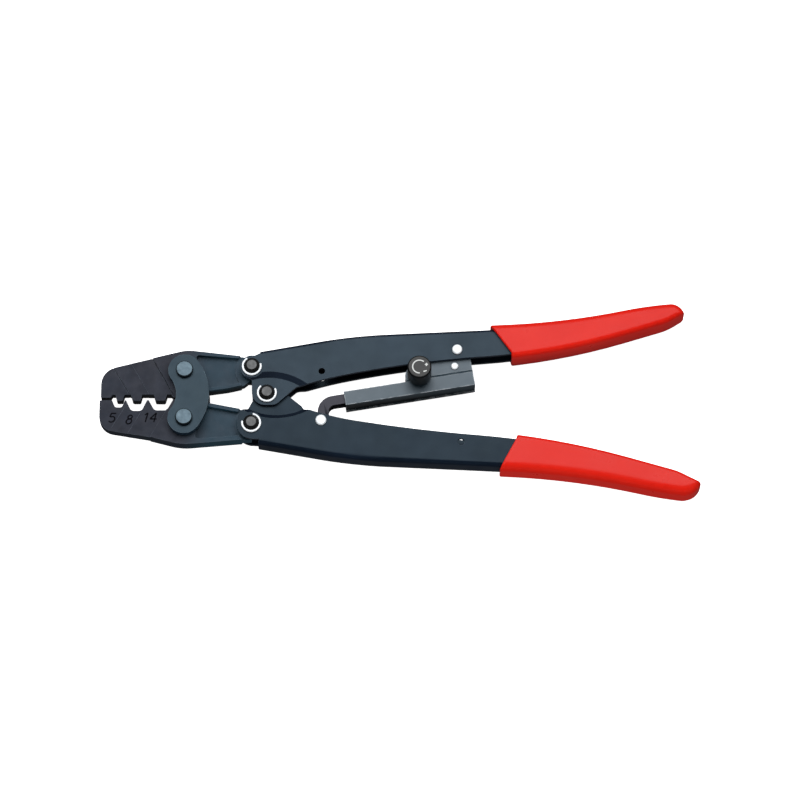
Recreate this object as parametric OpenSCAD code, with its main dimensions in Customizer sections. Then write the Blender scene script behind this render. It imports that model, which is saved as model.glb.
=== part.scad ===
// Ratchet crimping tool for bare cable lugs.
// The tool lies flat: jaws towards -X, handles towards +X, hinge pins along Z.
// Parts are drawn about the centre pin and the mid-plane, then moved to the resting frame.

/* [Jaws] */
// Distance of each jaw rivet behind the handles' centre pin
jaw_rivet_x = 43.9; // [42:0.1:46]
// Distance of each jaw rivet from the centre line
jaw_rivet_y = 13.4; // [12.5:0.1:14]
// Radius of the jaw rivets
jaw_rivet_r = 3.5; // [3:0.1:4]
// Radius of the jaw rivets' heads
jaw_rivet_head_r = 4.6; // [4.3:0.1:4.8]
// Reach of the jaws ahead of the centre pin
jaw_reach = 89.2; // [88:0.1:92]
// Half thickness of the jaws under the link plates
jaw_half = 4.2; // [4:0.1:4.2]
// Height of the upper jaw's land over the centre line
upper_land_y = -0.45; // [-0.6:0.05:0]
// Height of the lower jaw's land over the centre line
lower_land_y = -2.05; // [-2.5:0.05:-1.9]

/* [Pins] */
// Distance of each jaw pin behind the centre pin
jaw_pin_x = 8.15; // [7.5:0.05:9]
// Distance of each jaw pin from the centre line
jaw_pin_y = 15.95; // [15.5:0.05:16.5]
// Offset of the centre pin towards the upper jaw
centre_pin_y = 1.5; // [0:0.1:2]
// Radius of the three big pins
pin_r = 4.5; // [4.2:0.05:4.6]
// Outer radius of the snap rings
ring_outer_r = 5.3; // [5.2:0.1:5.6]
// Thickness of the snap rings
ring_thickness = 1.1; // [1:0.1:1.2]
// Radius of the pin grooves that hold the snap rings
ring_inner_r = 4.25; // [3.9:0.05:4.25]
// Play of a pin that turns in a hole
running_gap = 0.05; // [0.02:0.01:0.08]
// Play of the centre pin in the lower handle
centre_play = 0.4; // [0.3:0.05:0.7]

/* [Link plates] */
// Thickness of each link plate
link_thickness = 3.5; // [3:0.1:4]
// Distance from the mid-plane to the inner face of a link plate
link_inner_z = 4.5; // [4.5:0.1:4.8]
// Radius of the plate round each rivet
link_lobe_r = 8.7; // [8:0.1:9]

/* [Handles] */
// Half width of the folded handle channels
handle_half = 6.5; // [6.3:0.1:6.8]
// Sheet thickness of the handles
sheet = 2; // [1.9:0.05:2]
// Outside radius of the handle's folds
fold_r = 2.8; // [2.5:0.1:3.2]
// Sheet top beside the centre pin, upper handle
upper_ear_z = 4.9; // [4.9:0.05:5.1]
// Sheet top beside the centre pin, lower handle
lower_ear_z = 2.6; // [2.5:0.05:2.6]
// Extra width of the lower handle at its outer edge
lower_spread = 2.1; // [1.8:0.1:2.4]
// Extra width of the upper handle at its outer edge
upper_spread = -0.3; // [-0.4:0.1:0.3]

/* [Grips] */
// Thickness of the dipped plastic grip
grip_wall = 2.4; // [2:0.1:2.6]
// Half thickness of the grips
grip_half = 9; // [8.6:0.1:9.2]
// Rounding of the grips' outer edges
grip_edge_r = 4.5; // [4:0.1:5]

/* [Ratchet] */
// Slant of the ratchet case
case_tilt = 9.4; // [9:0.1:10]
// Length of the ratchet case
case_length = 69.9; // [68:0.5:71]
// Height of the case's lower channel
case_height = 7.6; // [7.4:0.1:7.8]
// Half width of the case's lower channel
case_half = 5; // [4.9:0.1:5.2]
// Sheet thickness of the case
case_sheet = 1.2; // [1:0.1:1.2]
// Height of the ratchet bar
bar_height = 5.2; // [5:0.1:5.4]
// Thickness of the ratchet bar
bar_thickness = 7; // [6.5:0.1:7]
// Pitch of the ratchet teeth
tooth_pitch = 2.5; // [2:0.1:3]
// Diameter of the release knob
knob_d = 12.8; // [12:0.1:14]
// Height of the release knob's top above the mid-plane
knob_top_z = 19.5; // [18:0.5:20]

/* [Hidden] */
$fn = 64;

rivet_head_z = 10.3;

upper_jaw_rivet_at = [-jaw_rivet_x, jaw_rivet_y];
jaw_pin_at = [-jaw_pin_x, jaw_pin_y];
handle_start = [-4, 25.2];
handle_end_x = 206;
// Each path piece is [turn in degrees, radius], or [0, length] where it is straight
upper_outer_path = [[0, 30.5], [-7.7, 300], [0, 62], [9.4, 390], [-9, 200], [0, 12]];
lower_outer_path = [[0, 30.5], [-7.7, 300], [0, 62], [10.4, 400], [-12, 190], [0, 8]];
outer_heading = 10.3;
inner_start = [20, 5.7];
inner_heading = 17.5;
upper_inner_path = [[-6.1, 230], [-7.2, 570], [13, 343], [0, 20], [14, 30], [0, 16]];
lower_inner_start = [20, 7.5];
lower_inner_heading = 20;
lower_inner_path = [[-10.6, 150], [-4.6, 820], [11.5, 400], [0, 24], [10.8, 30], [0, 20]];
// Slanted front edge of each grip, from its outer edge inwards
upper_front = [[114.8, 45], [130.4, 23.2], [131, 14]];
lower_front = [[120.8, 47], [132.6, 25], [134, 14]];
// Round end of each grip, as [x, y, radius]
upper_tip = [215.8, 43.8, 8.2];
lower_tip = [221.6, 46.7, 9];
// Limits of the whole tool, which is centred in the resting frame
grip_end_x = 230.26;
upper_grip_y = 51.93;
lower_grip_y = -56.05;
middle_x = (grip_end_x - jaw_reach) / 2;
middle_y = (upper_grip_y + lower_grip_y) / 2;

// Each slanted step of the jaws is [x at its inner end, x at its outer end, half thickness ahead]
jaw_steps = [[-47.5, -66, 3.3], [-60.5, -79.2, 3.1], [-70.5, -90, 2.9]];
jaw_eye_r = 6.2;
pocket_half = 1.7;
thin_end_half = 2.4;
thin_end_at = [-3, 15];
thin_end_r = 13.8;
// Each tooth is [middle, root width, tip width]
teeth = [[-56.8, 7, 5], [-69.5, 5.9, 4.1], [-78.4, 4.8, 3]];
tooth_root_y = 1.25;
tooth_tip_y = -2.25;
tooth_tip_r = 0.8;
// Each nest is [middle, top width, bottom width, depth, corner radius]
nests = [[-56.5, 13.1, 6.8, 5.75, 2.5], [-69.5, 11.2, 5.6, 6, 2.5], [-79.1, 6.9, 3.6, 4, 1.5]];
nest_edge_r = 0.3;

case_corner = [42.1, -5.3];
knob_at = [41.3, 9.9];
case_pivot_at = [63.6, 20.6];
spring_pin_at = [60.9, 12.4];
bar_eye_at = [-14.5, -6.8];
cheek_z = 3.9;
small_rivet_r = 2;
spring_pin_r = 1.2;
shaft_r = 1.8;
ring_play = 0.1;
bar_bottom = 1.5;
bar_end = 64;
rack_from = 22;
tooth_depth = 1.2;
// The bar's eye is a slot: its length, and its place and slant about the rivet
eye_play = 2.5;
eye_shift = [-0.13, 0.28];
eye_slant = -56;

// ---------------------------------------------------------------- helpers

// Moves a part from the mid-plane frame to the resting frame
module placed() {
    translate([-middle_x, -middle_y, rivet_head_z]) children();
}

module lower_side() {
    mirror([0, 1, 0]) children();
}

module both_faces() {
    children();
    mirror([0, 0, 1]) children();
}

module slab(half) {
    linear_extrude(2 * half, center = true) children();
}

module layer(low, high) {
    translate([0, 0, low]) linear_extrude(high - low) children();
}

module drill(at, r) {
    translate([at.x, at.y, -30]) cylinder(h = 60, r = r);
}

function on_circle(centre, r, angle) = centre + r * [cos(angle), sin(angle)];

// Outline through [x, y, corner radius] points
function rounded(corners, steps = 6) = [
    for (i = [0 : len(corners) - 1])
        let (here = corners[i], n = len(corners),
            a = corners[(i + n - 1) % n], b = corners[(i + 1) % n],
            p = [here.x, here.y],
            u = ([a.x, a.y] - p) / norm([a.x, a.y] - p),
            v = ([b.x, b.y] - p) / norm([b.x, b.y] - p),
            half = acos(u * v) / 2,
            centre = p + (u + v) / norm(u + v) * here.z / sin(half),
            first = p + u * here.z / tan(half) - centre,
            last = p + v * here.z / tan(half) - centre,
            from = atan2(first.y, first.x),
            swing = (atan2(last.y, last.x) - from + 540) % 360 - 180)
        for (k = here.z > 0 ? [0 : steps] : [0])
            here.z > 0 ? on_circle(centre, here.z, from + swing * k / steps) : p
];

// End of one path piece, as [x, y, heading]
function step_along(at, piece) = piece[0] == 0
    ? let (end = on_circle([at.x, at.y], piece[1], at.z)) [end.x, end.y, at.z]
    : let (side = sign(piece[0]) * 90,
        centre = on_circle([at.x, at.y], piece[1], at.z + side),
        end = on_circle(centre, piece[1], at.z - side + piece[0]))
        [end.x, end.y, at.z + piece[0]];

// Stations [x, y, heading] along a path; a curved piece takes several
function stations(at, path, i = 0) = i == len(path)
    ? [at]
    : let (piece = path[i], steps = piece[0] == 0 ? 1 : 8)
        concat([for (k = [0 : steps - 1])
            k == 0 ? at : step_along(at, [piece[0] * k / steps, piece[1]])],
            stations(step_along(at, piece), path, i + 1));

// Points to the left of each station
function beside(path, shift) = [for (s = path) on_circle([s.x, s.y], shift, s.z + 90)];

function reversed(list) = [for (i = [len(list) - 1 : -1 : 0]) list[i]];

// Stations of an outer edge, begun a little before the handle's end
function outer_stations(path, before) =
    let (start = on_circle(handle_start, -before, outer_heading))
    stations([start.x, start.y, outer_heading],
        [for (i = [0 : len(path) - 1]) path[i] + [0, i == 0 ? before : 0]]);

upper_inner_edge = stations([inner_start.x, inner_start.y, inner_heading], upper_inner_path);
lower_inner_edge = stations(
    [lower_inner_start.x, lower_inner_start.y, lower_inner_heading], lower_inner_path);

// Solid swept along stations; profile X is to the path's left, profile Y is up
module skin(path, profile) {
    n = len(profile);
    last = (len(path) - 1) * n;
    polyhedron(
        points = [for (s = path, p = profile) [s.x - p.x * sin(s.z), s.y + p.x * cos(s.z), p.y]],
        faces = concat(
            [[for (k = [0 : n - 1]) k], [for (k = [n - 1 : -1 : 0]) last + k]],
            [for (i = [0 : n : last - 1], k = [0 : n - 1])
                let (a = i + k, b = i + (k + 1) % n)
                each [[a, a + n, b], [b, a + n, b + n]]]));
}

// Block from X = edge back by depth, its corners rounded at the edge
function edge_profile(edge, depth, half, r, steps = 5) = concat(
    [[edge - depth, -half]],
    [for (k = [0 : steps]) on_circle([edge - r, r - half], r, -90 + 90 * k / steps)],
    [for (k = [0 : steps]) on_circle([edge - r, half - r], r, 90 * k / steps)],
    [[edge - depth, half]]);

function flipped(profile) = [for (p = reversed(profile)) [-p.x, p.y]];

// ---------------------------------------------------------------- jaws

// Blocks that thin the jaw to a half thickness, ahead of a slanted step
module thinner_ahead(step) {
    both_faces() layer(step.z, 10)
        polygon([[step.x, -3], [step.y, 30], [-110, 30], [-110, -3]]);
}

// Groove along the foot of a slanted step
module step_groove(step) {
    width = 0.6;
    depth = 0.35;
    both_faces() layer(step.z - depth, 10)
        polygon([[step.x, -3], [step.y, 30], [step.y - width, 30], [step.x - width, -3]]);
}

// Round thin end of a jaw, where it enters the handle
module thin_end() {
    translate(thin_end_at) circle(thin_end_r);
}

// Jaw blank: the upper one in place, the lower one after mirroring
module jaw(outline, pocket) {
    difference() {
        slab(jaw_half) {
            polygon(rounded(outline));
            translate(jaw_pin_at) circle(jaw_eye_r);
        }
        for (step = jaw_steps) thinner_ahead(step);
        both_faces() layer(pocket_half, 10) difference() {
            polygon(rounded(pocket));
            thin_end();
        }
        both_faces() layer(thin_end_half, 10) thin_end();
        drill(upper_jaw_rivet_at, jaw_rivet_r + running_gap);
        drill(jaw_pin_at, pin_r + running_gap);
    }
}

module upper_jaw() color("#3e3e48") placed() difference() {
    jaw(concat(
        [[-jaw_reach + 0.6, upper_land_y, 0.6], [-83.4, upper_land_y, 0.3], [-82.4, tooth_root_y, 0.3]],
        [for (i = [2 : -1 : 0], side = [-1, 1]) let (t = teeth[i])
            each side < 0
                ? [[t[0] - t[1] / 2, tooth_root_y, 0.3], [t[0] - t[2] / 2, tooth_tip_y, tooth_tip_r]]
                : [[t[0] + t[2] / 2, tooth_tip_y, tooth_tip_r], [t[0] + t[1] / 2, tooth_root_y, 0.3]]],
        [[-51, tooth_root_y, 0.3], [-50, upper_land_y, 0.3], [-44, upper_land_y, 2], [-38, 2, 2],
            [-21, 4.4, 8], [-12.3, 6.4, 1.5], [-7.6, 10.4, 0], [-8, 21.9, 0],
            [-43, 25.95, 20], [-jaw_reach + 0.6, 14.6, 9.5]]),
        [[-38, 23.2, 1.5], [-8, 20.8, 0], [-8, 9, 0], [-21, 6.1, 8], [-36.5, 3.9, 1.5]]);
    step_groove(jaw_steps[0]);
    step_groove(jaw_steps[2]);
}

module lower_jaw() color("#3e3e48") placed() lower_side() {
    land = -lower_land_y;
    jaw(concat(
        [[-jaw_reach, land, 0.6]],
        [for (i = [2 : -1 : 0], side = [-1, 1]) let (n = nests[i])
            each side < 0
                ? [[n[0] - n[1] / 2, land, nest_edge_r], [n[0] - n[2] / 2, land + n[3], n[4]]]
                : [[n[0] + n[2] / 2, land + n[3], n[4]], [n[0] + n[1] / 2, land, nest_edge_r]]],
        [[-44, land, 2], [-38, 2.6, 2], [-12.6, 7.5, 1.5], [-7.6, 10.6, 0], [-8, 24, 0],
            [-45.4, 27.2, 30], [-62.6, 22.7, 20], [-jaw_reach, 18.3, 8.4]]),
        [[-38, 24, 1.5], [-8, 21.6, 0], [-8, 10.3, 0], [-36.5, 4.7, 1.5]]);
}

// ---------------------------------------------------------------- link plates and rivets

module link_outline() {
    bulge_at = [-62, 0];
    bulge_r = norm(upper_jaw_rivet_at - bulge_at) + link_lobe_r;
    bulge_angle = atan2(jaw_rivet_y, bulge_at.x * -1 - jaw_rivet_x);
    waist_r = 13.9;
    difference() {
        union() {
            for (side = [-1, 1]) translate([-jaw_rivet_x, side * jaw_rivet_y]) circle(link_lobe_r);
            intersection() {
                translate(bulge_at) circle(bulge_r, $fn = 128);
                polygon([on_circle(bulge_at, 10, 0) - [8, 0], on_circle(bulge_at, 50, bulge_angle),
                    on_circle(bulge_at, 50, -bulge_angle)]);
            }
        }
        translate([-48.2 - waist_r, 0]) circle(waist_r);
    }
}

module link_plate() {
    difference() {
        layer(link_inner_z, link_inner_z + link_thickness) link_outline();
        for (side = [-1, 1]) drill([-jaw_rivet_x, side * jaw_rivet_y], jaw_rivet_r);
    }
}

module front_link_plate() color("#425460") placed() link_plate();

module back_link_plate() color("#425460") placed() mirror([0, 0, 1]) link_plate();

module headed_rivet(at, r, head_r, seat_z, top_z) {
    edge = 0.5;
    translate(at) rotate_extrude() polygon(concat(
        [[0, -top_z], [head_r - edge, -top_z], [head_r, edge - top_z], [head_r, -seat_z],
            [r, -seat_z]],
        [[r, seat_z], [head_r, seat_z], [head_r, top_z - edge], [head_r - edge, top_z], [0, top_z]]));
}

module jaw_rivet(side) {
    headed_rivet([-jaw_rivet_x, side * jaw_rivet_y], jaw_rivet_r, jaw_rivet_head_r,
        link_inner_z + link_thickness, rivet_head_z);
}

module upper_jaw_rivet() color("#70828e") placed() jaw_rivet(1);

module lower_jaw_rivet() color("#70828e") placed() jaw_rivet(-1);

// ---------------------------------------------------------------- pins and snap rings

// Pin with a head at the back and a grooved front end that tapers above its snap ring
module grooved_pin(at, seat_z) {
    low = seat_z + ring_play;
    high = low + ring_thickness;
    groove_r = ring_inner_r - 0.1;
    head_r = pin_r + 0.9;
    top = high + 1.6;
    translate(at) rotate_extrude() polygon([
        [0, -seat_z - 1.6], [head_r - 0.6, -seat_z - 1.6], [head_r, -seat_z - 1], [head_r, -seat_z],
        [pin_r, -seat_z], [pin_r, low - 0.05], [groove_r, low - 0.05], [groove_r, high + 0.05],
        [pin_r - 0.2, high + 0.05], [2.9, top - 0.2], [2.6, top], [0, top]]);
}

// Open ring whose gap looks towards the angle given
module snap_ring(at, seat_z, gap_middle, gap) {
    edge = 0.25;
    translate([at.x, at.y, seat_z + ring_play]) rotate([0, 0, gap_middle + gap / 2])
        rotate_extrude(angle = 360 - gap) polygon(rounded([
            [ring_inner_r, 0, edge], [ring_outer_r, 0, edge],
            [ring_outer_r, ring_thickness, edge], [ring_inner_r, ring_thickness, edge]], 3));
}

module upper_jaw_pin() color("#808080") placed() grooved_pin(jaw_pin_at, handle_half);

module lower_jaw_pin() color("#808080") placed()
    grooved_pin([-jaw_pin_x, -jaw_pin_y], handle_half);

module centre_pin() color("#808080") placed() grooved_pin([0, centre_pin_y], upper_ear_z);

module upper_pin_ring() color("#ebf0f5") placed() snap_ring(jaw_pin_at, handle_half, 68, 106);

module lower_pin_ring() color("#ebf0f5") placed()
    snap_ring([-jaw_pin_x, -jaw_pin_y], handle_half, 125, 91);

module centre_pin_ring() color("#ebf0f5") placed()
    snap_ring([0, centre_pin_y], upper_ear_z, 79, 105);

// ---------------------------------------------------------------- handles

// Corners round the jaw pin and the centre pin, up to the start of the inner edge
upper_ears = [[-4, 23.4, 0], [-6.5, 22.1, 0], [-14.4, 22.1, 6.2], [-14.4, 9.4, 6.2], [-8.1, 9.2, 0],
    [-7.9, -5.2, 6.8], [4.5, -5.2, 5], [15.8, 5, 4]];
lower_ears = [[-4.4, 24.8, 0], [-8.4, 24.6, 4], [-15.4, 23.4, 7.3], [-15.4, 9, 6],
    [-10.2, 7.2, 0], [-7.7, 2.5, 0], [-7.7, -8.4, 7], [1.7, -8.4, 5], [18.4, 5.2, 3]];

// Side of a handle; its outer limit lies a shift away from the outer path
module handle_outline(ears, inner, outer, shift) {
    web_overlap = 1.5;
    corners = concat(ears, [[inner[0].x, inner[0].y, 0]]);
    difference() {
        polygon(concat(rounded(corners), [for (i = [1 : len(inner) - 1]) [inner[i].x, inner[i].y]],
            reversed(beside(outer_stations(outer, -web_overlap), shift))));
        translate([handle_end_x, 0]) square(100);
    }
}

// Sheet that steps down to the ears, within a circle round a point outside the handle
module stepped_sheet(ear_z, centre, ear_r) {
    face_r = ear_r + 3;
    far = 280;
    translate(centre) rotate_extrude($fn = 180) polygon([
        [0, ear_z - sheet], [ear_r, ear_z - sheet], [face_r, handle_half - sheet],
        [far, handle_half - sheet], [far, handle_half], [face_r, handle_half], [ear_r, ear_z],
        [0, ear_z]]);
}

// Folded channel: web along the outer edge, two side walls with ears
module channel(ears, inner, outer, spread) {
    fold_inset = fold_r + 0.4;
    ear_eye_r = 6.2;
    both_faces() intersection() {
        layer(0, handle_half) handle_outline(ears, inner, outer, spread - fold_inset);
        children();
    }
    intersection() {
        difference() {
            skin(outer_stations(outer, 0), edge_profile(spread, 6, handle_half, fold_r));
            skin(outer_stations(outer, 2),
                edge_profile(spread - sheet, 6, handle_half - sheet, fold_r - sheet, 1));
        }
        translate([-20, -20, -20]) cube([20 + handle_end_x, 100, 40]);
    }
    both_faces() layer(handle_half - sheet, handle_half) translate(jaw_pin_at) circle(ear_eye_r);
}

function in_case(at) = case_corner + [at.x * cos(case_tilt) - at.y * sin(case_tilt),
    at.x * sin(case_tilt) + at.y * cos(case_tilt)];

case_pivot = in_case(case_pivot_at);
bar_eye = in_case(bar_eye_at);

module upper_handle() color("#44505c") placed() difference() {
    channel(upper_ears, upper_inner_edge, upper_outer_path, upper_spread)
        stepped_sheet(upper_ear_z, [1, -21], 31);
    drill(jaw_pin_at, pin_r);
    drill([0, centre_pin_y], pin_r);
    drill(case_pivot, small_rivet_r);
    drill([29.2, 13.3], 1.8);
}

module lower_handle() color("#323e4a") placed() lower_side() difference() {
    channel(lower_ears, lower_inner_edge, lower_outer_path, lower_spread)
        stepped_sheet(lower_ear_z, [5, -21.7], 32);
    drill(jaw_pin_at, pin_r);
    drill([0, -centre_pin_y], pin_r + centre_play);
    drill([bar_eye.x, -bar_eye.y], small_rivet_r);
    drill([103.3, 26.5], 1.9);
}

// ---------------------------------------------------------------- grips

// Space that the handle fills, its channel counted as solid
module handle_envelope(inner, outer, spread) {
    edge = outer_stations(outer, 0);
    intersection() {
        skin(edge, edge_profile(spread, 30, handle_half, fold_r));
        slab(handle_half) difference() {
            polygon(concat(beside(inner, 0), reversed(beside(edge, 10))));
            translate([handle_end_x, 0]) square(100);
        }
    }
}

// Ahead of a slanted front edge
module grip_limits(front) {
    polygon(concat(front, [[250, 14], [250, 70], [front[0].x + 1, 60]]));
}

// Disc with rounded edges at the tip, and all that lies behind its middle
module grip_tip(tip) {
    translate([tip.x, tip.y]) {
        rotate_extrude($fn = 96) polygon(edge_profile(tip.z, tip.z, grip_half, grip_edge_r));
        translate([-120, -40, -grip_half]) cube([120.01, 60, 2 * grip_half]);
    }
}

module grip(inner, outer, spread, front, tip) {
    inner_edge_r = 2.5;
    difference() {
        intersection() {
            skin(outer_stations(outer, 0),
                edge_profile(spread + grip_wall, 24, grip_half, grip_edge_r));
            skin(inner, flipped(edge_profile(grip_wall, 24, grip_half, inner_edge_r)));
            slab(grip_half) grip_limits(front);
            grip_tip(tip);
        }
        handle_envelope(inner, outer, spread);
    }
}

module upper_grip() color("#e63c32") placed()
    grip(upper_inner_edge, upper_outer_path, upper_spread, upper_front, upper_tip);

module lower_grip() color("#e63c32") placed() lower_side()
    grip(lower_inner_edge, lower_outer_path, lower_spread, lower_front, lower_tip);

// ---------------------------------------------------------------- ratchet case

module case_frame() {
    translate(case_corner) rotate([0, 0, case_tilt]) children();
}

module case_outline() {
    flange_from = knob_at.x - 7.6;
    polygon(rounded([
        [0, 0, 0], [0, case_height, 0], [flange_from, case_height, 0], [flange_from, 15, 7.6],
        [case_length, 28.8, 5], [case_length, 0, 0]]));
}

module ratchet_case() color("#6c7680") placed() case_frame() {
    step = 1.4;
    back_lip = 0.9;
    difference() {
        union() {
            intersection() {
                slab(case_half) case_outline();
                union() {
                    both_faces() rotate([90, 0, 90]) linear_extrude(80) polygon([
                        [0, case_half], [0, case_half - case_sheet],
                        [case_height, case_half - case_sheet],
                        [case_height + step, cheek_z - case_sheet],
                        [40, cheek_z - case_sheet], [40, cheek_z], [case_height + step, cheek_z],
                        [case_height, case_half]]);
                    translate([0, 0, -case_half]) cube([case_length, case_sheet, 2 * case_half]);
                }
            }
            translate([0, -back_lip, -case_half]) cube([case_length, back_lip + 0.5, case_sheet]);
        }
        drill(knob_at, shaft_r + running_gap);
        drill(case_pivot_at, small_rivet_r + running_gap);
        drill(spring_pin_at, spring_pin_r);
    }
}

module case_pivot_rivet() color("#ebf0f5") placed()
    headed_rivet(case_pivot, small_rivet_r, 2.7, handle_half, handle_half + 1.2);

module spring_pin() color("#ebf0f5") placed() case_frame()
    headed_rivet(spring_pin_at, spring_pin_r, 2, cheek_z, cheek_z + 1);

// Torsion spring round the knob's shaft, with a leg to the spring pin
module pawl_spring() color("#9aa0a6") placed() case_frame() {
    wire = 0.35;
    coil_r = 2.5;
    leg_z = 1.7;
    for (turn = [0 : 2]) translate([knob_at.x, knob_at.y, leg_z - 0.6 + 0.6 * turn])
        rotate_extrude() translate([coil_r, 0]) circle(wire, $fn = 24);
    leg_from = knob_at + [0, coil_r];
    leg_to = spring_pin_at + [0, spring_pin_r + 0.05 + wire];
    way = leg_to - leg_from;
    translate([leg_from.x, leg_from.y, leg_z]) rotate([0, 0, atan2(way.y, way.x)]) rotate([0, 90, 0])
        cylinder(h = norm(way), r = wire, $fn = 24);
}

// ---------------------------------------------------------------- ratchet bar

module bar_outline() {
    top = bar_bottom + bar_height;
    leg = 5.9;
    leg_shift = 1.9;
    left = bar_eye_at.x - leg / 2 + leg_shift;
    right = bar_eye_at.x + leg / 2 + leg_shift;
    polygon(concat(
        rounded([[left, -5, 0], [left, top, 9], [rack_from, top, 0]], 8),
        [for (u = [rack_from : tooth_pitch : bar_end - tooth_pitch])
            each [[u + 0.6, top - tooth_depth], [u + tooth_pitch - 0.4, top], [u + tooth_pitch, top]]],
        [[bar_end, top - tooth_depth], [bar_end, bar_bottom]],
        rounded([[bar_end, bar_bottom, 0], [right, bar_bottom, 3.5], [right, -5, 0]])));
}

// Rectangle with half-round ends whose centres are a length apart
module stadium(length, r) {
    polygon(rounded([for (c = [[-1, -1], [1, -1], [1, 1], [-1, 1]])
        [c.x * (length / 2 + r), c.y * r, 0.999 * r]]));
}

module eye_frame() {
    translate(bar_eye_at + eye_shift) rotate([0, 0, eye_slant]) children();
}

// The eye is long enough for the way the bar swings in the lower handle
module ratchet_bar() color("#4b4b55") placed() case_frame() difference() {
    half = bar_thickness / 2;
    union() {
        slab(half) bar_outline();
        eye_frame() slab(half) stadium(eye_play, 4);
    }
    eye_frame() {
        for (side = [-1, 1]) drill([side * eye_play / 2, 0], small_rivet_r + 0.4);
        cube([eye_play, 2 * small_rivet_r + 0.8, 20], center = true);
    }
}

module bar_rivet() color("#ebf0f5") placed()
    headed_rivet(bar_eye, small_rivet_r, 2.9, handle_half, handle_half + 1.2);

// ---------------------------------------------------------------- release knob

module release_knob() color("#222222") placed() case_frame() translate(knob_at) {
    low = handle_half + 0.5;
    r = knob_d / 2;
    difference() {
        rotate_extrude($fn = 96) polygon([[0, low], [r - 0.3, low], [r, low + 0.3],
            [r, knob_top_z - 0.7], [r - 0.7, knob_top_z], [0, knob_top_z]]);
        translate([0, 0, -1]) cylinder(h = knob_top_z - 2, r = shaft_r);
    }
}

module knob_shaft() color("#a0a4a8") placed() case_frame() translate(knob_at)
    translate([0, 0, -6.8]) cylinder(h = knob_top_z + 3.8, r = shaft_r);

module knob_shaft_clip() color("#a0a4a8") placed() case_frame() translate(knob_at)
    translate([0, 0, -6.2]) difference() {
        cylinder(h = 0.8, r = 3.4);
        translate([0, 0, -1]) cylinder(h = 3, r = shaft_r);
    }

// Pawl on the knob's shaft; its tip stays just clear of the rack
module pawl() color("#5a5a62") placed() case_frame() translate(knob_at) {
    bar_top = bar_bottom + bar_height - knob_at.y;
    difference() {
        union() {
            translate([0, 0, -2.4]) cylinder(h = 3, r = 2.9);
            layer(-2.4, 0.6) polygon([[0, 2.4], [2.4, 1.6], [6.2, bar_top + 1.6], [6.4, bar_top + 0.25],
                [5.6, bar_top + 0.25], [1, -2.4]]);
        }
        translate([0, 0, -5]) cylinder(h = 10, r = shaft_r);
    }
}

front_link_plate();
back_link_plate();
upper_jaw_rivet();
lower_jaw_rivet();
upper_jaw();
lower_jaw();
upper_handle();
lower_handle();
upper_grip();
lower_grip();
upper_jaw_pin();
lower_jaw_pin();
centre_pin();
upper_pin_ring();
lower_pin_ring();
centre_pin_ring();
ratchet_case();
case_pivot_rivet();
spring_pin();
pawl_spring();
ratchet_bar();
bar_rivet();
release_knob();
knob_shaft();
knob_shaft_clip();
pawl();
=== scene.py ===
"""Looks of the ratchet crimping tool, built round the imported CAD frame."""
import math

import bpy
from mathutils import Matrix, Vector


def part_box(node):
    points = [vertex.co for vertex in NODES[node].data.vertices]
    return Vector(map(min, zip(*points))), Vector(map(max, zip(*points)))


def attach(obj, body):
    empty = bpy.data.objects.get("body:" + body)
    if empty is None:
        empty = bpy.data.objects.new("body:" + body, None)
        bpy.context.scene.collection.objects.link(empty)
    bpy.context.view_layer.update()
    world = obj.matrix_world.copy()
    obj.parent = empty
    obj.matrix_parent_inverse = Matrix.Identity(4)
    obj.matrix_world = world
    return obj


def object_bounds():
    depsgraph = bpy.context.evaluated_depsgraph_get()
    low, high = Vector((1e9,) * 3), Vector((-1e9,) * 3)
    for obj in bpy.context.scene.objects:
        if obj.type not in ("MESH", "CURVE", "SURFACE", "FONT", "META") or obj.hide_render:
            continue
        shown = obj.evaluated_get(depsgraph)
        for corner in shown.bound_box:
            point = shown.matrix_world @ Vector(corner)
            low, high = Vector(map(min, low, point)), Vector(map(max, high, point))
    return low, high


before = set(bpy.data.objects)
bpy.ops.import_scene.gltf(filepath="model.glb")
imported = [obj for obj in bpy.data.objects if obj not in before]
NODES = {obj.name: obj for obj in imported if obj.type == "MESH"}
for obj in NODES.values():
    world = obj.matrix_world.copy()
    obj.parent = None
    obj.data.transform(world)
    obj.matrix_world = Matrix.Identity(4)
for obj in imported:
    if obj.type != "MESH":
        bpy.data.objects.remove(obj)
cad_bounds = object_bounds()
MM = 0.001
WHITE = (1, 1, 1, 1)


# ------------------------------------------------------------------ materials

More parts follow.
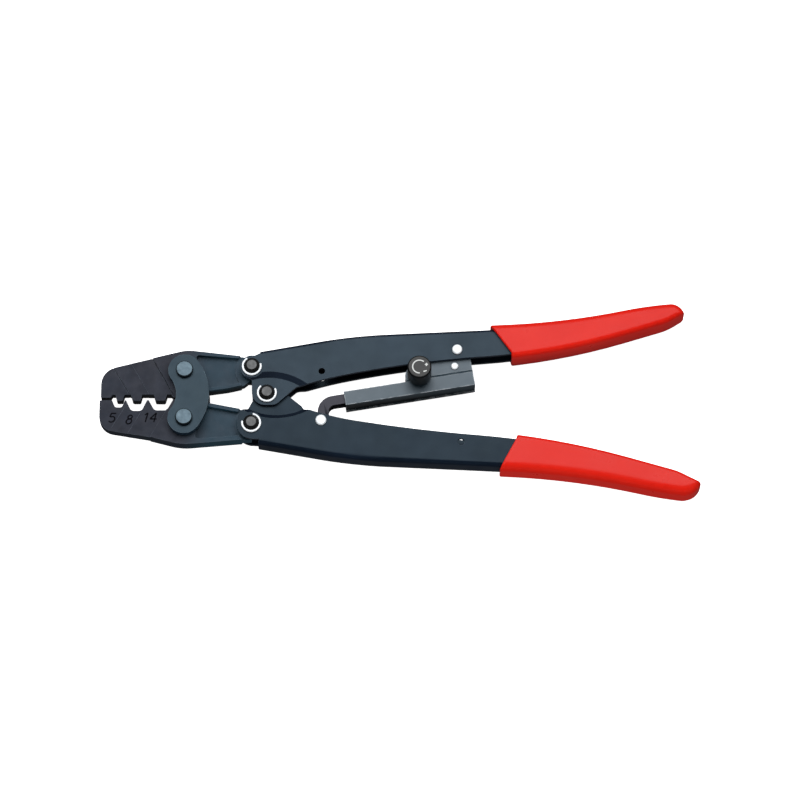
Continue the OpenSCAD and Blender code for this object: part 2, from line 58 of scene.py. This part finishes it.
class Shader:
    """A Principled material with short calls for the procedural nodes that feed it."""

    def __init__(self, name, roughness, metallic=0.0, specular=0.5, tint=WHITE):
        self.material = bpy.data.materials.new(name)
        self.material.use_nodes = True
        self.tree = self.material.node_tree
        self.bsdf = self.tree.nodes["Principled BSDF"]
        self.bsdf.inputs["Roughness"].default_value = roughness
        self.bsdf.inputs["Metallic"].default_value = metallic
        self.bsdf.inputs["Specular Tint"].default_value = tint
        self.bsdf.inputs["Specular IOR Level"].default_value = specular
        self.coords = self.tree.nodes.new("ShaderNodeTexCoord").outputs["Object"]

    def node(self, kind, inputs=(), **settings):
        made = self.tree.nodes.new(kind)
        for key, value in settings.items():
            setattr(made, key, value)
        for key, value in dict(inputs).items():
            if isinstance(value, bpy.types.NodeSocket):
                self.tree.links.new(value, made.inputs[key])
            else:
                made.inputs[key].default_value = value
        return made

    def noise(self, size_mm, detail=3.0, roughness=0.55, stretch=(1, 1, 1)):
        """Grey noise whose blobs are about size_mm across."""
        mapped = self.node("ShaderNodeMapping", {"Vector": self.coords, "Scale": stretch})
        made = self.node("ShaderNodeTexNoise", {
            "Vector": mapped.outputs["Vector"], "Scale": 1000.0 / size_mm,
            "Detail": detail, "Roughness": roughness})
        return made.outputs["Fac"]

    def ramp(self, value, low, high, to_low=0.0, to_high=1.0):
        made = self.node("ShaderNodeMapRange", {
            "Value": value, "From Min": low, "From Max": high, "To Min": to_low, "To Max": to_high})
        return made.outputs["Result"]

    def math(self, operation, a, b=0.0):
        return self.node("ShaderNodeMath", {0: a, 1: b}, operation=operation).outputs["Value"]

    def mix(self, factor, a, b):
        made = self.node("ShaderNodeMix", data_type="RGBA")
        for key, value in ((0, factor), (6, a), (7, b)):
            if isinstance(value, bpy.types.NodeSocket):
                self.tree.links.new(value, made.inputs[key])
            else:
                made.inputs[key].default_value = value
        return made.outputs[2]

    def edges(self, radius_mm):
        """1 along sharp edges and 0 on flats: where a rounded normal leaves the surface's own."""
        rounded = self.node("ShaderNodeBevel", {"Radius": radius_mm * MM}, samples=6)
        surface = self.node("ShaderNodeNewGeometry").outputs["Normal"]
        dot = self.node("ShaderNodeVectorMath", {0: rounded.outputs["Normal"], 1: surface},
                        operation="DOT_PRODUCT")
        return self.ramp(dot.outputs["Value"], 0.995, 0.80)

    def link(self, socket, value):
        self.tree.links.new(value, self.bsdf.inputs[socket])

    def bump(self, height, distance_mm):
        made = self.node("ShaderNodeBump", {"Height": height, "Distance": distance_mm * MM})
        self.tree.links.new(made.outputs["Normal"], self.bsdf.inputs["Normal"])


def rgb(red, green, blue):
    """Linear colour from 0-255 screen values."""
    def linear(v):
        v /= 255
        return v / 12.92 if v <= 0.04045 else ((v + 0.055) / 1.055) ** 2.4
    return (linear(red), linear(green), linear(blue), 1.0)


# Colours of the soft light that dark surfaces mirror
BLUE_SHEEN = (0.62, 0.85, 1.0, 1.0)
GREY_SHEEN = (0.86, 0.86, 1.0, 1.0)
CASE_SHEEN = (0.68, 0.76, 0.84, 1.0)
# Turning marks: cells of noise per metre of radius
TURNING_SCALE = 4500.0


def dark_paint(name, base, light, edge_colour, roughness=0.36, specular=0.3, tint=BLUE_SHEEN,
               edge_mm=0.3):
    """Smooth dark paint or oxide: faint clouding, fine orange peel, brighter edges (rubbed wear, and
    on the case a painted highlight).
    """
    s = Shader(name, roughness, specular=specular, tint=tint)
    clouds = s.ramp(s.noise(22, detail=4), 0.3, 0.7)
    specks = s.ramp(s.noise(0.8, detail=2), 0.55, 0.75)
    colour = s.mix(clouds, base, light)
    colour = s.mix(s.math("MULTIPLY", specks, 0.2), colour, light)
    # Lighter edges in patches: rubbed wear, and on the case a painted highlight along its edges
    edge_patches = s.math("MULTIPLY", s.edges(edge_mm), s.ramp(s.noise(5, detail=4), 0.4, 0.65))
    colour = s.mix(s.math("MULTIPLY", edge_patches, 0.8), colour, edge_colour)
    s.link("Base Color", colour)
    s.link("Roughness", s.ramp(s.noise(9, detail=5), 0.3, 0.7, roughness - 0.05, roughness + 0.07))
    s.bump(s.noise(0.4, detail=2), 0.004)
    return s.material


def forged_oxide(name, base, light, edge_colour, oiled, oiled_from_x, oiled_to_x):
    """Blackened forging, grainy and mottled, with rubbed edges and a bluer, oiled hinge end."""
    s = Shader(name, 0.5, specular=0.25, tint=GREY_SHEEN)
    clouds = s.ramp(s.noise(14, detail=5, roughness=0.65), 0.32, 0.68)
    grain = s.ramp(s.noise(0.7, detail=3, roughness=0.7), 0.35, 0.7)
    colour = s.mix(clouds, base, light)
    colour = s.mix(s.math("MULTIPLY", grain, 0.4), colour, light)
    along = s.node("ShaderNodeSeparateXYZ", {"Vector": s.coords}).outputs["X"]
    oil = s.math("MULTIPLY", s.ramp(along, oiled_from_x, oiled_to_x),
                 s.ramp(clouds, 0.0, 1.0, 0.7, 1.0))
    colour = s.mix(oil, colour, oiled)
    edge_patches = s.math("MULTIPLY", s.edges(0.35), s.ramp(s.noise(3, detail=4), 0.35, 0.6))
    colour = s.mix(s.math("MULTIPLY", edge_patches, 0.6), colour, edge_colour)
    s.link("Base Color", colour)
    s.link("Roughness", s.ramp(s.noise(6, detail=5), 0.3, 0.7, 0.42, 0.58))
    s.bump(s.noise(0.6, detail=4, roughness=0.7), 0.03)
    return s.material


def turned_steel(name, base, light, roughness, centre=None):
    """Bare or blued steel with fine turning marks round a centre, or else brushed along X."""
    s = Shader(name, roughness, metallic=1.0)
    if centre is None:
        marks = s.noise(0.4, detail=3, stretch=(0.06, 1, 1))
    else:
        place = s.node("ShaderNodeVectorMath", {0: s.coords, 1: centre}, operation="SUBTRACT")
        flat = s.node("ShaderNodeVectorMath", {0: place.outputs["Vector"], 1: (1, 1, 0)},
                      operation="MULTIPLY")
        radius = s.node("ShaderNodeVectorMath", {0: flat.outputs["Vector"]}, operation="LENGTH")
        outward = s.node("ShaderNodeCombineXYZ", {"X": radius.outputs["Value"]})
        marks = s.node("ShaderNodeTexNoise", {
            "Vector": outward.outputs["Vector"], "Scale": TURNING_SCALE, "Detail": 3.0}).outputs["Fac"]
    clouds = s.ramp(s.noise(3, detail=4), 0.3, 0.7)
    s.link("Base Color", s.mix(clouds, base, light))
    patches = s.noise(2.5, detail=4)
    s.link("Roughness", s.ramp(patches, 0.3, 0.7, roughness - 0.07, roughness + 0.08))
    s.bump(marks, 0.004)
    return s.material


def zinc(name, rim_painted_shade):
    """Bright white zinc: pale and semi-matt, with painted shade darkening its rims."""
    s = Shader(name, 0.42, metallic=0.2, specular=0.4)
    clouds = s.ramp(s.noise(1.6, detail=4), 0.3, 0.7)
    colour = s.mix(clouds, rgb(208, 214, 219), rgb(230, 234, 237))
    # Painted shade: the rims darken towards near black, standing in for the shadow round the heads and
    # rings
    colour = s.mix(s.math("MULTIPLY", s.edges(0.9), rim_painted_shade), colour, rgb(20, 24, 28))
    s.link("Base Color", colour)
    s.link("Roughness", s.ramp(s.noise(1.2, detail=4), 0.3, 0.7, 0.34, 0.5))
    s.bump(s.noise(0.3, detail=3), 0.006)
    return s.material


def dipped_plastic(name):
    """Glossy dipped plastic: a soft skin with slow ripples and a fine pebble."""
    s = Shader(name, 0.26, specular=0.17)
    clouds = s.ramp(s.noise(30, detail=3), 0.3, 0.7)
    thin = s.ramp(s.noise(3, detail=3), 0.35, 0.75)
    colour = s.mix(clouds, rgb(200, 24, 12), rgb(208, 30, 17))
    colour = s.mix(s.math("MULTIPLY", thin, 0.2), colour, rgb(214, 38, 26))
    s.link("Base Color", colour)
    s.link("Roughness", s.ramp(s.noise(12, detail=4), 0.3, 0.7, 0.26, 0.38))
    ripples = s.math("MULTIPLY", s.noise(9, detail=2), 3.0)
    s.bump(s.math("ADD", ripples, s.noise(0.7, detail=2)), 0.015)
    return s.material


def printed(name, base, roughness, specular):
    """Thin print or filled engraving, slightly uneven."""
    s = Shader(name, roughness, specular=specular)
    s.link("Base Color", s.mix(s.ramp(s.noise(0.6), 0.4, 0.7), base, tuple(v * 0.8 for v in base)))
    s.link("Roughness", s.ramp(s.noise(0.5), 0.3, 0.7, roughness - 0.06, roughness + 0.06))
    s.bump(s.noise(0.15), 0.004)
    return s.material


def centre_of(node):
    low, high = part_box(node)
    return (low + high) / 2


def dress(material, *names):
    for name in names:
        mesh = NODES[name].data
        mesh.materials.clear()
        mesh.materials.append(material)


# The jaws are dry at their teeth, and oiled from under the link plates back to the hinges
oiled_from_x = centre_of("front_link_plate")[0] - 4 * MM
oiled_to_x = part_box("front_link_plate")[1][0]
jaw_oxide = forged_oxide("jaw_oxide", rgb(8, 13, 20), rgb(18, 26, 37), rgb(104, 114, 126),
                         rgb(25, 52, 64), oiled_from_x, oiled_to_x)
upper_paint = dark_paint("upper_handle_paint", rgb(13, 19, 30), rgb(24, 32, 44), rgb(96, 108, 118))
# Painted shade: the lower handle gets a darker copy of the upper handle's paint and a weaker sheen,
# for the light falling off towards it
shaded_lower_paint = dark_paint("shaded_lower_handle_paint", rgb(6, 13, 24), rgb(14, 23, 36), rgb(88, 100, 110),
                         specular=0.22)
link_blue = dark_paint("link_blueing", rgb(10, 22, 32), rgb(18, 32, 44), rgb(126, 142, 152),
                       specular=0.36)
# The case's near-white edge colour, a millimetre wide, is a painted highlight, not wear
case_paint = dark_paint("case_paint", rgb(28, 42, 50), rgb(38, 52, 60), rgb(226, 230, 234),
                        roughness=0.4, specular=0.9, tint=CASE_SHEEN, edge_mm=1.0)
bar_oxide = dark_paint("bar_oxide", rgb(30, 30, 36), rgb(40, 40, 47), rgb(118, 118, 126),
                       roughness=0.4, tint=GREY_SHEEN)
knob_black = dark_paint("knob_black", rgb(4, 6, 8), rgb(10, 13, 14), rgb(112, 116, 116),
                        roughness=0.34, specular=0.35, tint=WHITE)
grip_red = dipped_plastic("grip_red")
# Painted shade on the rims: faint on the rings, strong on the rivets, where it stands in for the
# shadow round their heads
ring_zinc = zinc("ring_zinc", 0.15)
rivet_zinc = zinc("rivet_zinc", 0.9)
spring_steel = turned_steel("spring_steel", rgb(110, 114, 118), rgb(134, 138, 142), 0.34)
mark_white = printed("mark_white", rgb(205, 208, 206), 0.5, 0.2)
mark_dark = printed("mark_dark", rgb(3, 3, 8), 0.7, 0.05)

dress(jaw_oxide, "upper_jaw", "lower_jaw")
dress(upper_paint, "upper_handle")
dress(shaded_lower_paint, "lower_handle")
dress(link_blue, "front_link_plate", "back_link_plate")
dress(case_paint, "ratchet_case")
dress(bar_oxide, "ratchet_bar", "pawl")
dress(knob_black, "release_knob")
dress(grip_red, "upper_grip", "lower_grip")
dress(ring_zinc, "upper_pin_ring", "lower_pin_ring", "centre_pin_ring")
dress(rivet_zinc, "case_pivot_rivet", "bar_rivet", "spring_pin")
dress(spring_steel, "knob_shaft", "knob_shaft_clip", "pawl_spring")
for pin in ("upper_jaw_pin", "lower_jaw_pin", "centre_pin"):
    dress(turned_steel(pin + "_steel", rgb(62, 63, 64), rgb(80, 81, 82), 0.4,
                       centre_of(pin)), pin)
for rivet in ("upper_jaw_rivet", "lower_jaw_rivet"):
    dress(turned_steel(rivet + "_steel", rgb(62, 74, 82), rgb(78, 92, 100), 0.38,
                       centre_of(rivet)), rivet)


# ------------------------------------------------------------------ softened edges

def smooth_faces(piece):
    for polygon in piece.data.polygons:
        polygon.use_smooth = True


WELD_MM = 0.002
FLAT_DEGREES = 0.6
FLAT_FACE_WEIGHT = 80


def soften(name, width_mm, sharp_degrees):
    """Real rounded edges: weld the imported faces, join flat ones, then bevel what is sharp."""
    piece = NODES[name]
    weld = piece.modifiers.new("weld", "WELD")
    weld.merge_threshold = WELD_MM * MM
    flat = piece.modifiers.new("flat_faces", "DECIMATE")
    flat.decimate_type = "DISSOLVE"
    flat.angle_limit = math.radians(FLAT_DEGREES)
    bevel = piece.modifiers.new("bevel", "BEVEL")
    bevel.width = width_mm * MM
    bevel.segments = 2
    bevel.limit_method = "ANGLE"
    bevel.angle_limit = math.radians(sharp_degrees)
    bevel.miter_outer = "MITER_ARC"
    normals = piece.modifiers.new("flat_shading", "WEIGHTED_NORMAL")
    normals.weight = FLAT_FACE_WEIGHT
    smooth_faces(piece)


def melt(name, voxel_mm, rounds):
    """Dipped skin: rebuilt in small voxels and relaxed, so no edge or facet stays sharp."""
    piece = NODES[name]
    rebuilt = piece.modifiers.new("skin", "REMESH")
    rebuilt.mode = "VOXEL"
    rebuilt.voxel_size = voxel_mm * MM
    rebuilt.use_smooth_shade = True
    relaxed = piece.modifiers.new("relaxed", "SMOOTH")
    relaxed.factor = 0.5
    relaxed.iterations = rounds
    smooth_faces(piece)


EDGE_MM = {
    "upper_jaw": 0.35, "lower_jaw": 0.35, "upper_handle": 0.25, "lower_handle": 0.25,
    "front_link_plate": 0.55, "back_link_plate": 0.55, "ratchet_case": 0.2, "ratchet_bar": 0.35,
    "release_knob": 0.15, "upper_jaw_rivet": 0.3, "lower_jaw_rivet": 0.3,
    "upper_jaw_pin": 0.2, "lower_jaw_pin": 0.2, "centre_pin": 0.2,
    "case_pivot_rivet": 0.2, "bar_rivet": 0.2, "spring_pin": 0.2,
}
USUAL_SHARP_DEGREES = 32
# The handles' sheet steps down to the ears on a gentle slope, whose edges have to count as sharp
SHARP_DEGREES = {"upper_handle": 18, "lower_handle": 18}
GRIP_VOXEL_MM = 0.55
GRIP_ROUNDS = 10
for name, width in EDGE_MM.items():
    soften(name, width, SHARP_DEGREES.get(name, USUAL_SHARP_DEGREES))
for name in ("upper_grip", "lower_grip"):
    melt(name, GRIP_VOXEL_MM, GRIP_ROUNDS)


# ------------------------------------------------------------------ marks

MARK_LIFT = 0.02 * MM
MARK_THICKNESS = 0.05 * MM


def on_circle(centre, radius, degrees):
    turn = math.radians(degrees)
    return Vector((centre[0] + radius * math.cos(turn), centre[1] + radius * math.sin(turn)))


def arc(centre, radius, start, end, steps=20):
    return [on_circle(centre, radius, start + (end - start) * k / steps) for k in range(steps + 1)]


def ribbon_sides(points, width):
    """Points to the left and to the right of a line, half a width away from it."""
    left, right = [], []
    for k, here in enumerate(points):
        before, after = points[max(k - 1, 0)], points[min(k + 1, len(points) - 1)]
        way = (after - before).normalized()
        side = Vector((-way.y, way.x)) * width / 2
        left.append(here + side)
        right.append(here - side)
    return left, right


def surface_height(node, place):
    """Height of a CAD node's front face over a point."""
    hit, spot, _, _ = NODES[node].ray_cast((place.x, place.y, 1.0), (0, 0, -1))
    return spot.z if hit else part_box(node)[1][2]


def marks_on(name, node, lines, width, material):
    """Flat strips along lines, laid on a CAD node's front face."""
    vertices, faces = [], []
    for points in lines:
        left, right = ribbon_sides(points, width)
        first = len(vertices)
        for pair in zip(left, right):
            for place in pair:
                vertices.append((place.x, place.y, surface_height(node, place) + MARK_LIFT))
        for k in range(len(points) - 1):
            a = first + 2 * k
            faces.append((a, a + 1, a + 3, a + 2))
    mesh = bpy.data.meshes.new(name)
    mesh.from_pydata(vertices, [], faces)
    mesh.materials.append(material)
    piece = bpy.data.objects.new(name, mesh)
    bpy.context.scene.collection.objects.link(piece)
    body = piece.modifiers.new("thickness", "SOLIDIFY")
    body.thickness = MARK_THICKNESS
    body.offset = -1
    return piece


def line(*points):
    return [Vector(p) for p in points]


# Strokes of the numerals in a box one unit high, its origin at the lower left
STROKES = {
    "1": [line((0.1, 0.78), (0.35, 0.97)), line((0.35, 1.0), (0.35, 0.0))],
    "4": [line((0.5, 0.0), (0.5, 1.0)), line((0.5, 1.0), (0.02, 0.34)),
          line((0.0, 0.34), (0.7, 0.34))],
    "5": [line((0.62, 0.96), (0.12, 0.96)), line((0.14, 1.0), (0.08, 0.56)),
          arc((0.33, 0.32), 0.3, 128, -150)],
    "8": [arc((0.33, 0.74), 0.21, 0, 360), arc((0.33, 0.28), 0.27, 0, 360)],
}
NUMERAL_HEIGHT = 5.2 * MM
NUMERAL_LINE = 0.75 * MM
# Slant and spacing as fractions of the height
NUMERAL_SLANT = 0.25
NUMERAL_ADVANCE = 0.72


def numerals(text, centre):
    """Slanted strokes of a number, centred on a point."""
    made = []
    for k, character in enumerate(text):
        left = NUMERAL_ADVANCE * (k - len(text) / 2)
        for stroke in STROKES[character]:
            made.append([Vector((
                centre[0] + NUMERAL_HEIGHT * (left + p.x + NUMERAL_SLANT * (p.y - 0.5)),
                centre[1] + NUMERAL_HEIGHT * (p.y - 0.5))) for p in stroke])
    return made


# Each size stands below its nest: mm from the lower jaw's tip and below the jaws' centre line
jaw_tip_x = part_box("lower_jaw")[0][0]
centre_line_y = centre_of("front_link_plate")[1]
for size, from_tip, below in (("5", 7.1, 11.8), ("8", 16.3, 12.8), ("14", 27.2, 11.8)):
    place = (jaw_tip_x + from_tip * MM, centre_line_y - below * MM)
    mark = marks_on("size_mark_" + size, "lower_jaw", numerals(size, place), NUMERAL_LINE,
                    mark_dark)
    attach(mark, "lower_jaw")

# The knob's turning mark: an open ring with a plus and a minus in its gap
knob = centre_of("release_knob")
RING_R = 3.6 * MM
SIGN_R = 3.9 * MM
TICK = 0.85 * MM
KNOB_LINE = 0.62 * MM
plus = on_circle(knob, SIGN_R, 18)
minus = on_circle(knob, SIGN_R, -40)
knob_lines = [
    arc(knob, RING_R, 50, 272, steps=40),
    line((plus.x - TICK, plus.y), (plus.x + TICK, plus.y)),
    line((plus.x, plus.y - TICK), (plus.x, plus.y + TICK)),
    line((minus.x - TICK, minus.y - 0.3 * TICK), (minus.x + TICK, minus.y + 0.3 * TICK)),
]
knob_mark = marks_on("knob_turning_mark", "release_knob", knob_lines, KNOB_LINE, mark_white)
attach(knob_mark, "release_knob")


# ------------------------------------------------------------------ stage, light and camera

def area_light(name, size, power, place, aim):
    data = bpy.data.lights.new(name, "AREA")
    data.shape = "RECTANGLE"
    data.size, data.size_y = size
    data.energy = power
    lamp = bpy.data.objects.new(name, data)
    bpy.context.scene.collection.objects.link(lamp)
    lamp.location = place
    lamp.rotation_euler = (Vector(aim) - Vector(place)).to_track_quat("-Z", "Y").to_euler()
    lamp.visible_camera = False
    return lamp


low, high = cad_bounds
middle = (Vector(low) + Vector(high)) / 2

# A white table that glows, so no shadow shows on it, and that doesn't shine back on the tool
FLOOR_SIZE = 6.0
FLOOR_GLOW = 1.0
bpy.ops.mesh.primitive_grid_add(x_subdivisions=8, y_subdivisions=8, size=FLOOR_SIZE,
                                location=(0, 0, 0))
floor = bpy.context.object
floor.name = "floor"
floor_shader = Shader("floor_white", 0.9, specular=0.1)
floor_shader.link("Base Color", floor_shader.mix(
    floor_shader.noise(400), (0.90, 0.90, 0.90, 1), (0.93, 0.93, 0.93, 1)))
floor_shader.bsdf.inputs["Emission Color"].default_value = WHITE
floor_shader.bsdf.inputs["Emission Strength"].default_value = FLOOR_GLOW
floor.data.materials.append(floor_shader.material)
floor.visible_glossy = False
floor.visible_diffuse = False

WORLD_STRENGTH = 0.1
world = bpy.data.worlds.new("studio")
bpy.context.scene.world = world
world.use_nodes = True
world.node_tree.nodes["Background"].inputs["Color"].default_value = WHITE
world.node_tree.nodes["Background"].inputs["Strength"].default_value = WORLD_STRENGTH

# One big softbox overhead, where the tool's flat faces mirror it towards the camera
area_light("softbox", (2.1, 1.3), 30, (0, 0.62, 1.12), (0, 0.2, 0))
# A low fill from the front that colours the sides turned to the camera without a glare on them
fill = area_light("fill", (1.6, 0.5), 12.5, (0, -1.25, 0.3), (0, 0, 0))
fill.visible_glossy = False

CAMERA_DISTANCE = 2.2
CAMERA_ELEVATION = math.radians(71)
IMAGE_WIDTH_AT_TOOL = 0.427
SENSOR_MM = 36
# The picture's middle is about a millimetre off the box's middle, and a little below it
aim = Vector((0.39 * MM, 1.16 * MM, middle.z * 0.7))
camera_data = bpy.data.cameras.new("camera")
camera_data.sensor_width = SENSOR_MM
camera_data.clip_end = 20
camera_data.lens = SENSOR_MM * CAMERA_DISTANCE / IMAGE_WIDTH_AT_TOOL
camera = bpy.data.objects.new("camera", camera_data)
bpy.context.scene.collection.objects.link(camera)
camera.location = aim + CAMERA_DISTANCE * Vector(
    (0, -math.cos(CAMERA_ELEVATION), math.sin(CAMERA_ELEVATION)))
camera.rotation_euler = (aim - camera.location).to_track_quat("-Z", "Y").to_euler()
bpy.context.scene.camera = camera
bpy.context.scene.view_settings.view_transform = "Standard"
